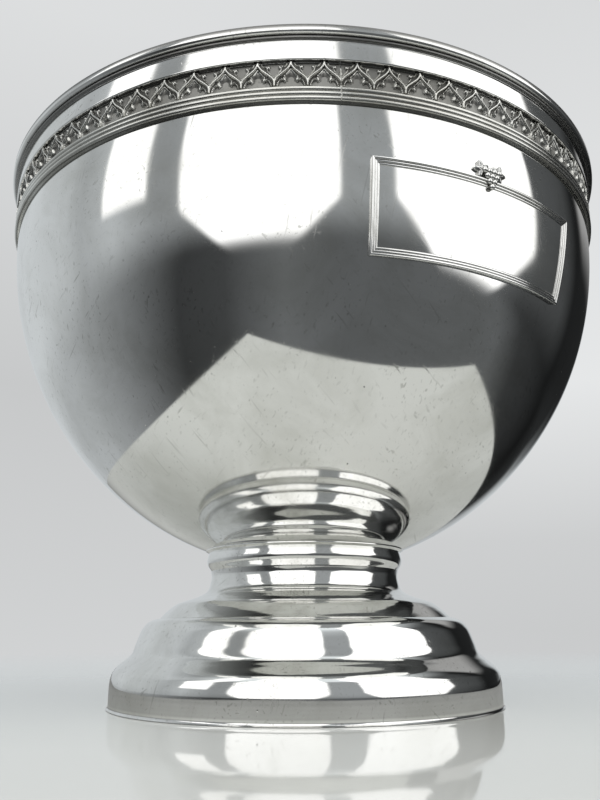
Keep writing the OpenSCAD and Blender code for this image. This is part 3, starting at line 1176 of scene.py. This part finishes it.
@dataclass(frozen=True)
class Pedestal:
    """The spun foot in two tiers and the spun stem with its neck, bead and thin lip."""

    turns: int = 360
    foot_wall: float = 2.2
    hem_w: float = 6
    foot_flange_w: float = 14
    stem_wall: float = 1.8
    stem_flange_w: float = 12
    seat_w: float = 8
    seat_gap: float = 0.03
    seat_rows: int = 8
    lip_edge: float = 0.6

    # Half-outlines as shares of a tier's overhang and height, from the bottom up
    foot_line = np.array([
        [0, 0], [0.034, 0.02], [0.034, 0.06], [0.034, 0.13], [0.0345, 0.2], [0.037, 0.26],
        [0.05, 0.32], [0.074, 0.37], [0.1, 0.403], [0.17, 0.45], [0.34, 0.53], [0.465, 0.6],
        [0.525, 0.7], [0.6, 0.82], [0.66, 0.89], [0.76, 0.955], [0.9, 0.99], [1, 1]])
    stem_line = np.array([
        [0, 0], [0.06, 0.07], [0.125, 0.14], [0.21, 0.22], [0.32, 0.3], [0.49, 0.365],
        [0.7, 0.44], [0.855, 0.52], [0.94, 0.61], [0.98, 0.74], [1, 0.88], [0.985, 1]])
    bead_line = np.array([[0.04, 0], [0.3, 0.12], [0.83, 0.34], [1, 0.56], [0.88, 0.79], [0.69, 1]])

    def build(self) -> None:
        """Turn the foot's section and the stem's section."""
        finish = FOOT_PEWTER.material()
        make_piece("spun_foot", turned_shape(self.foot_outline(), self.turns), finish,
                   ("foot",))
        make_piece("spun_stem", turned_shape(self.stem_outline(), self.turns), finish,
                   ("stem",))

    def foot_outline(self) -> Array:
        """The foot's section: up outside, in along the top flange, down inside, out at the hem.

        Returns:
            Radius and height of each point, closed on itself.
        """
        top, wall = LEVELS.foot_top, self.foot_wall
        outer = tier(self.foot_line, (LEVELS.foot_r, 0), (LEVELS.joint_r, top))
        outer[0] = [LEVELS.foot_r - 0.35, 0]
        inner = beside(outer, wall)
        inner = inner[(inner[:, 1] > wall) & (inner[:, 1] < top - wall)]
        flange_r, hem_r = LEVELS.joint_r - self.foot_flange_w, LEVELS.foot_r - self.hem_w
        flange = np.array([[flange_r, top], [flange_r, top - wall], [inner[-1, 0], top - wall]])
        hem = np.array([[inner[0, 0], wall], [hem_r, wall], [hem_r, 0]])
        return np.vstack([outer, flange, inner[::-1], hem])

    def stem_outline(self) -> Array:
        """The stem's section: dome, neck, bead and lip outside, the seat under the bowl, and
        back down inside to the flange on the foot.

        Returns:
            Radius and height of each point, closed on itself.
        """
        low, lip_z, lip_r = LEVELS.foot_top, LEVELS.lip_z, LEVELS.lip_r
        bead_top = lip_z - LEVELS.lip_h
        bead_low = bead_top - LEVELS.bead_h
        dome = tier(self.stem_line, (LEVELS.joint_r, low), (LEVELS.neck_r, bead_low))
        bead = tier(self.bead_line, (LEVELS.neck_r, bead_low),
                    (LEVELS.neck_r + LEVELS.bead_out, bead_top))
        lip = np.array([[lip_r - 0.25, lip_z - self.lip_edge - 0.1], [lip_r, lip_z - self.lip_edge],
                        [lip_r, lip_z - 0.15], [lip_r - 0.15, lip_z - self.seat_gap]])
        ends = (math.asin((lip_r - inwards) / LEVELS.bowl_r) for inwards in (0.2, self.seat_w))
        a = np.linspace(*ends, self.seat_rows)
        seat = np.stack([LEVELS.bowl_r * np.sin(a),
                         LEVELS.bowl_mid - LEVELS.bowl_depth * np.cos(a) - self.seat_gap], 1)
        outside = np.vstack([dome, bead])
        inner = beside(outside, self.stem_wall)
        inner = inner[(inner[:, 1] > low + self.stem_wall) & (inner[:, 1] < bead_top - 4)]
        inner = inner[inner[:, 0] < LEVELS.joint_r - self.stem_wall]
        under = np.array([[seat[-1, 0], seat[-1, 1] - self.stem_wall],
                          [inner[-1, 0], seat[-1, 1] - self.stem_wall]])
        flange_r = LEVELS.joint_r - self.stem_flange_w
        flange = np.array([[flange_r, low + self.stem_wall], [flange_r, low]])
        return np.vstack([outside, lip, seat, under, inner[::-1], flange])


@dataclass(frozen=True)
class Fixing:
    """The stud under the bowl, and the plate, washer and nut that pull the foot up to it."""

    stud_r: float = 4
    pitch: float = 1.25
    thread_h: float = 0.5
    nut_af: float = 13
    nut_lead: float = 0.5
    stud_lead: float = 0.9
    hole_gap: float = 0.25
    washer_round: float = 0.35
    plate_t: float = 2.2
    plate_round: float = 1.2
    dish_r: float = 50
    dish_slope: float = 14

    def build(self) -> None:
        """Make the threaded stud, the nut, the washer and the plate, and dress the boss."""
        steel = ZINC_STEEL.material()
        make_piece("threaded_stud", self.stud_shape(), steel, ("centre_stud",))
        make_piece("hexagon_nut", self.nut_shape(), steel, ("nut",))
        low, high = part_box("washer")
        ring = self.ring(low.z / MM, high.z / MM, self.stud_r + self.hole_gap, high.x / MM,
                         self.washer_round)
        make_piece("round_washer", turned_shape(ring, 96), steel, ("washer",))
        make_piece("dished_plate", turned_shape(self.plate_outline(), 240), steel,
                   ("clamp_plate",))
        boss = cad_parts["stud_boss"]
        boss.data.materials.clear()
        boss.data.materials.append(BRASS.material())

    def ring(self, z0: float, z1: float, r0: float, r1: float, cut: float) -> Array:
        """A flat ring's section with its corners rounded by cut."""
        return softened(np.array([[r0, z0], [r1, z0], [r1, z1], [r0, z1]]), cut)

    def plate_outline(self) -> Array:
        """The clamp plate's section: flat rim, slope and raised middle, corners rounded.

        Returns:
            Radius and height of each point, closed on itself.
        """
        low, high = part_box("clamp_plate")
        z0, top, r1 = low.z / MM, high.z / MM, high.x / MM
        thick = self.plate_t
        lift = top - z0 - thick
        ramp_r = (self.dish_r + LEVELS.joint_r - self.dish_slope) / 2
        r0 = self.stud_r + self.hole_gap
        return softened(np.array([[r0, z0 + lift], [self.dish_r, z0 + lift], [ramp_r, z0], [r1, z0],
                                  [r1, z0 + thick], [ramp_r, z0 + thick],
                                  [self.dish_r, z0 + lift + thick], [r0, z0 + lift + thick]]),
                        self.plate_round)

    def stud_shape(self) -> Shape:
        """The stud: at level z in direction a its radius is stud_r less the thread's depth
        times the distance of z / pitch - a / 2 pi from a whole number, doubled.

        Returns:
            The closed stud.
        """
        low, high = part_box("centre_stud")
        z = np.arange(low.z / MM, high.z / MM, self.pitch / 8)[:, None]
        turn = full_turn(48)
        phase = z / self.pitch - turn / (2 * np.pi)
        r = self.stud_r - self.thread_h * 2 * np.abs(phase - np.round(phase))
        r = np.minimum(r, self.stud_r - self.stud_lead + (z - low.z / MM))
        return tube_shape(around(r, z * np.ones_like(turn), turn))

    def nut_shape(self) -> Shape:
        """The nut as one closed ring section carried round its hexagon.

        In direction a the hexagon's radius is (nut_af / 2) / cos of the angle to the
        nearest flat, and a chamfer takes off its corners at both ends.

        Returns:
            The closed nut.
        """
        low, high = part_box("nut")
        z0, z1 = low.z / MM, high.z / MM
        turn = full_turn(96)
        near = np.mod(turn, np.pi / 3) - np.pi / 6
        flat = self.nut_af / 2 / np.cos(near)
        ends = np.minimum(flat, self.nut_af / 2 * 0.98)
        cut = (flat - ends) * 0.5
        inner = np.full_like(turn, self.stud_r)
        mouth = inner + self.nut_lead
        r = np.stack([inner, mouth, ends, flat, flat, ends, mouth, inner])
        z = np.stack(np.broadcast_arrays(z0 + self.nut_lead, z0, z0, z0 + cut, z1 - cut,
                                         z1, z1, z1 - self.nut_lead))
        points = around(r, z, turn)
        index = np.arange(r.size).reshape(r.shape)
        quads = grid_quads(np.vstack([index, index[:1]]))
        flat_points = points.reshape(-1, 3)
        return Shape(flat_points, quads.ravel(), np.full(len(quads), 4), np.zeros(len(flat_points)))


# ---------------------------------------------------------------- studio and camera


@dataclass(frozen=True)
class Window:
    """A bright panel of soft light, by direction in degrees, with its lower corners cut."""

    left: float
    right: float
    low: float
    high: float
    level: float
    soft: float = 1.0
    cut: float = 0
    soft_low: float = 2
    soft_high: float = 3


@dataclass(frozen=True)
class Studio:
    """A pale table in a pale room, lit by three tall windows in front and to the sides,
    with a pale patch of wall behind on the right.

    Directions are in degrees from the front, where the plaque faces, towards the right.
    """

    windows: tuple[Window, ...] = (
        Window(-104, -85, 14, 75, 1.6),
        Window(-72, -16, -7, 75, 1.6, cut=14, soft_low=5),
        Window(3, 62, -9, 75, 1.6, cut=18, soft_low=3),
        Window(102, 126, 24, 62, 0.42, soft=4, soft_low=6),
    )
    # Tone of the walls by direction, above the horizon and below it
    upper: tuple[tuple[float, float], ...] = (
        (-180, 0.64), (-155, 0.68), (-125, 0.60), (-115, 0.46), (-100, 0.56), (-82, 0.34),
        (-15, 0.38), (8, 0.37), (65, 0.10), (85, 0.07), (95, 0.015), (123, 0.02), (130, 0.64),
        (180, 0.64))
    lower: tuple[tuple[float, float], ...] = (
        (-180, 0.53), (-135, 0.47), (-105, 0.28), (-85, 0.13), (-72, 0.045), (-55, 0.06),
        (-35, 0.16), (-15, 0.12), (45, 0.13), (60, 0.045), (95, 0.01), (114, 0.03), (126, 0.48),
        (180, 0.53))
    # Heights in degrees from which one tone goes over to the next
    horizon: tuple[float, float] = (-8.0, 8.0)
    ceiling: tuple[float, float] = (38.0, 58.0)
    summit: tuple[float, float] = (68.0, 84.0)
    # Tone overhead by direction: open sky light in front, a dim ceiling behind
    overhead: tuple[tuple[float, float], ...] = (
        (-180, 0.34), (-130, 0.36), (-95, 1.0), (50, 1.0), (100, 0.34), (180, 0.34))
    zenith: float = 0.62
    # Tone of the backdrop by height in degrees, on its left and on its right, and the
    # directions between which the left goes over to the right
    backdrop_left: tuple[tuple[float, float], ...] = (
        (-10, 0.68), (0, 0.64), (17, 0.58), (30, 0.66), (42, 0.73), (60, 0.73))
    backdrop_right: tuple[tuple[float, float], ...] = (
        (-10, 0.62), (0, 0.595), (6, 0.62), (17, 0.80), (42, 0.70), (60, 0.70))
    backdrop_turn: tuple[float, float] = (168.0, 132.0)
    # Radius of the floor, and where the table and the ground fade out, in metres
    floor_r: float = 4
    table_fade: tuple[float, float] = (0.3, 1.2)
    ground_fade: tuple[float, float] = (0.9, 2.4)
    table: str = "#EBECE7"
    table_sheen: float = 0.17
    glaze_ior: float = 1.38
    glaze_roughness: float = 0.05
    edge_soft_mm: float = 2
    # Table edges as a point in millimetres and the direction that points off the table
    edges: tuple[tuple[float, float, float, float], ...] = (
        (-275, -250, -0.995, 0.097), (-275, -250, -0.157, -0.988), (260, -335, 0.952, -0.306))

    def build(self) -> None:
        """Make the world and the floor."""
        self.world()
        self.floor()

    def ramp(self, tree: bpy.types.NodeTree, angle: bpy.types.NodeSocket,
             tones: tuple[tuple[float, float], ...],
             tint: tuple[float, float, float] = (0.95, 1.0, 1.03)) -> bpy.types.NodeSocket:
        """A tinted tone by angle, straight between the angles given.

        Args:
            tree: the tree that takes it.
            angle: the angle in degrees.
            tones: angles in degrees, in rising order, and the tone at each.
            tint: share of red, green and blue; the room is a little blue.

        Returns:
            The colour.
        """
        first, last = tones[0][0], tones[-1][0]
        share = node(tree, "MapRange", {0: angle, 1: first, 2: last}).outputs[0]
        stops = [((a - first) / (last - first), (*(t * c for c in tint), 1)) for a, t in tones]
        stops = (stops[0], stops[-1], *stops[1:-1])
        return node(tree, "ValToRGB", {0: share}, stops=stops).outputs[0]

    def angles(self, tree: bpy.types.NodeTree, way: bpy.types.NodeSocket
               ) -> tuple[bpy.types.NodeSocket, bpy.types.NodeSocket]:
        """A direction's angle round the axis and its angle above the horizon, in degrees.

        Args:
            tree: the tree that takes the nodes.
            way: the direction, or a place seen from the origin.

        Returns:
            atan2(x, -y) and asin(z), in degrees.
        """
        part = node(tree, "SeparateXYZ", {0: way}).outputs
        minus_y = node(tree, "Math", {0: part[1], 1: -1.0}, operation="MULTIPLY").outputs[0]
        turn = node(tree, "Math", {0: part[0], 1: minus_y}, operation="ARCTAN2").outputs[0]
        lift = node(tree, "Math", {0: part[2]}, operation="ARCSINE").outputs[0]
        az, el = (node(tree, "Math", {0: angle, 1: 180 / math.pi}, operation="MULTIPLY").outputs[0]
                  for angle in (turn, lift))
        return az, el

    def blend(self, tree: bpy.types.NodeTree, value: bpy.types.NodeSocket, start: float,
              end: float, before: bpy.types.NodeSocket,
              after: bpy.types.NodeSocket | tuple[float, ...]) -> bpy.types.NodeSocket:
        """Go smoothly from one colour to another as a value goes from start to end.

        Args:
            tree: the tree that takes the nodes.
            value: the value.
            start: where the first colour ends.
            end: where the second colour is reached.
            before: the first colour.
            after: the second colour.

        Returns:
            The colour.
        """
        step = node(tree, "MapRange", {0: value, 1: start, 2: end},
                    interpolation_type="SMOOTHSTEP").outputs[0]
        return node(tree, "Mix", {0: step, 6: before, 7: after}, data_type="RGBA").outputs[2]

    def world(self) -> None:
        """The room as light from every direction, and a plain backdrop for the camera."""
        world = bpy.data.worlds.new("studio")
        bpy.context.scene.world = world
        world.use_nodes = True
        tree = world.node_tree
        tree.nodes.clear()
        az, el = self.angles(tree, node(tree, "TexCoord").outputs["Generated"])
        tone = self.blend(tree, el, *self.horizon, self.ramp(tree, az, self.lower),
                          self.ramp(tree, az, self.upper))
        tone = self.blend(tree, el, *self.ceiling, tone, self.ramp(tree, az, self.overhead))
        tone = self.blend(tree, el, *self.summit, tone, (self.zenith,) * 3 + (1,))
        for window in self.windows:
            mask = self.window_mask(tree, window, az, el)
            level = (window.level,) * 3 + (1,)
            tone = node(tree, "Mix", {0: mask, 6: tone, 7: level}, data_type="RGBA").outputs[2]
        plain = self.backdrop(tree, az, el)
        seen = node(tree, "LightPath").outputs["Is Camera Ray"]
        tone = node(tree, "Mix", {0: seen, 6: tone, 7: plain}, data_type="RGBA").outputs[2]
        shine = node(tree, "Background", {"Color": tone, "Strength": 1.0})
        node(tree, "OutputWorld", {"Surface": shine.outputs[0]})

    def backdrop(self, tree: bpy.types.NodeTree, az: bpy.types.NodeSocket,
                 el: bpy.types.NodeSocket) -> bpy.types.NodeSocket:
        """The pale backdrop: its tone goes from its left to its right, and with height.

        Args:
            tree: the world's tree.
            az: direction round the axis, in degrees.
            el: direction above the horizon, in degrees.

        Returns:
            The colour.
        """
        plain = (0.985, 1.0, 1.008)
        return self.blend(tree, az, *self.backdrop_turn,
                          self.ramp(tree, el, self.backdrop_left, plain),
                          self.ramp(tree, el, self.backdrop_right, plain))

    def window_mask(self, tree: bpy.types.NodeTree, window: Window, az: bpy.types.NodeSocket,
                    el: bpy.types.NodeSocket) -> bpy.types.NodeSocket:
        """1 inside a window and 0 outside, with soft edges and cut lower corners.

        Args:
            tree: the world's tree.
            window: the window.
            az: direction round the axis, in degrees.
            el: direction above the horizon, in degrees.

        Returns:
            The mask.
        """
        s, low, high = window.soft, window.soft_low, window.soft_high
        spans = [(az, window.left - s, window.left + s), (az, window.right + s, window.right - s),
                 (el, window.low - low, window.low + low),
                 (el, window.high + high, window.high - high)]
        if window.cut:
            for side, edge in ((1.0, window.left), (-1.0, window.right)):
                sloped = node(tree, "Math", {0: az, 1: side, 2: el},
                              operation="MULTIPLY_ADD").outputs[0]
                start = side * edge + window.low + window.cut
                spans.append((sloped, start - 2 * s, start + 2 * s))
        mask = None
        for value, start, end in spans:
            step = node(tree, "MapRange", {0: value, 1: start, 2: end},
                        interpolation_type="SMOOTHSTEP").outputs[0]
            mask = step if mask is None else node(tree, "Math", {0: mask, 1: step},
                                                  operation="MULTIPLY").outputs[0]
        return mask

    def floor(self) -> None:
        """A pale round floor.

        The camera sees a glazed pale table that fades into the backdrop. The metal shows
        it only up to the table's edges. Past them lies the room's darker ground, as far as
        the walls.
        """
        turn = full_turn(96)
        just_under = -0.2 * MM
        points = np.stack([self.floor_r * np.cos(turn), self.floor_r * np.sin(turn),
                           np.full_like(turn, just_under)], 1)
        mesh = bpy.data.meshes.new("floor")
        mesh.from_pydata(points.tolist(), [], [list(range(len(turn)))])
        material = bpy.data.materials.new("glazed_pale_table")
        material.use_nodes = True
        tree = material.node_tree
        tree.nodes.clear()
        place = node(tree, "TexCoord").outputs["Object"]
        path = node(tree, "LightPath").outputs
        gone = node(tree, "BsdfTransparent").outputs[0]
        away = node(tree, "VectorMath", {0: place}, operation="LENGTH").outputs["Value"]
        pale = node(tree, "BsdfPrincipled", {
            "Base Color": linear(self.table), "Roughness": self.glaze_roughness,
            "IOR": self.glaze_ior}).outputs[0]
        near, far = self.table_fade
        fade = node(tree, "MapRange", {0: away, 1: near, 2: far},
                    interpolation_type="SMOOTHSTEP").outputs[0]
        seen = node(tree, "MixShader", {0: fade, 1: pale, 2: gone}).outputs[0]

        matt = node(tree, "BsdfDiffuse", {"Color": linear(self.table)}).outputs[0]
        sheen = node(tree, "Emission", {"Color": (self.table_sheen,) * 3 + (1,)}).outputs[0]
        glance = node(tree, "Fresnel", {"IOR": self.glaze_ior}).outputs[0]
        table = node(tree, "MixShader", {0: glance, 1: matt, 2: sheen}).outputs[0]
        off = None
        for x, y, nx, ny in self.edges:
            beyond = node(tree, "VectorMath", {0: place, 1: (nx, ny, 0)},
                          operation="DOT_PRODUCT").outputs["Value"]
            edge = (x * nx + y * ny) * MM
            soft = self.edge_soft_mm * MM
            step = node(tree, "MapRange", {0: beyond, 1: edge - soft, 2: edge + soft}).outputs[0]
            off = step if off is None else node(tree, "Math", {0: off, 1: step},
                                                operation="MAXIMUM").outputs[0]
        around_room = self.ramp(tree, self.angles(tree, place)[0], self.lower)
        ground = node(tree, "Emission", {"Color": around_room}).outputs[0]
        near, far = self.ground_fade
        fade = node(tree, "MapRange", {0: away, 1: near, 2: far},
                    interpolation_type="SMOOTHSTEP").outputs[0]
        room = node(tree, "MixShader", {0: fade, 1: ground, 2: gone}).outputs[0]
        mirrored = node(tree, "MixShader", {0: off, 1: table, 2: room}).outputs[0]
        shown = node(tree, "MixShader", {0: path["Is Glossy Ray"], 1: seen, 2: mirrored})
        node(tree, "OutputMaterial", {"Surface": shown.outputs[0]})
        mesh.materials.append(material)
        floor = bpy.data.objects.new("floor", mesh)
        bpy.context.scene.collection.objects.link(floor)


@dataclass(frozen=True)
class View:
    """A low camera close in front of the foot, looking up at the bowl.

    Lengths are in millimetres and angles in degrees. The direction goes from the front
    towards the right.
    """

    distance: float = 461.7
    height: float = 40.5
    direction: float = -29.1
    pitch: float = 16.779
    yaw: float = -0.273
    roll: float = -0.269
    lens: float = 34.16

    def build(self) -> None:
        """Place the camera: its matrix's columns are right, up, back and its place."""
        pitch, yaw, roll, turn = (math.radians(a) for a in (self.pitch, self.yaw, self.roll,
                                                            self.direction))
        ahead = np.array([math.sin(yaw) * math.cos(pitch), math.cos(yaw) * math.cos(pitch),
                          math.sin(pitch)])
        right = np.array([math.cos(yaw), -math.sin(yaw), 0])
        up = np.cross(right, ahead)
        sideways = right * math.cos(roll) + up * math.sin(roll)
        upwards = up * math.cos(roll) - right * math.sin(roll)
        matrix = np.eye(4)
        matrix[:3] = np.stack([sideways, upwards, -ahead, [0, -self.distance * MM,
                                                           self.height * MM]], 1)
        camera = bpy.data.cameras.new("camera")
        camera.lens, camera.sensor_width, camera.clip_end = self.lens, 36, 30
        holder = bpy.data.objects.new("camera", camera)
        bpy.context.scene.collection.objects.link(holder)
        holder.matrix_world = Matrix.Rotation(turn, 4, "Z") @ Matrix(matrix.tolist())
        bpy.context.scene.camera = holder


def main() -> None:
    """Build the view, the studio and every sub-assembly."""
    logging.basicConfig(level=logging.INFO, format="%(message)s")
    bpy.context.scene.view_settings.view_transform = "Standard"
    View().build()
    Studio().build()
    Bowl().build()
    Rim().build()
    Frieze().build()
    plaque = Plaque()
    plaque.build()
    Ornament().build(plaque.top)
    Pedestal().build()
    Fixing().build()


if __name__ == "__main__":
    main()
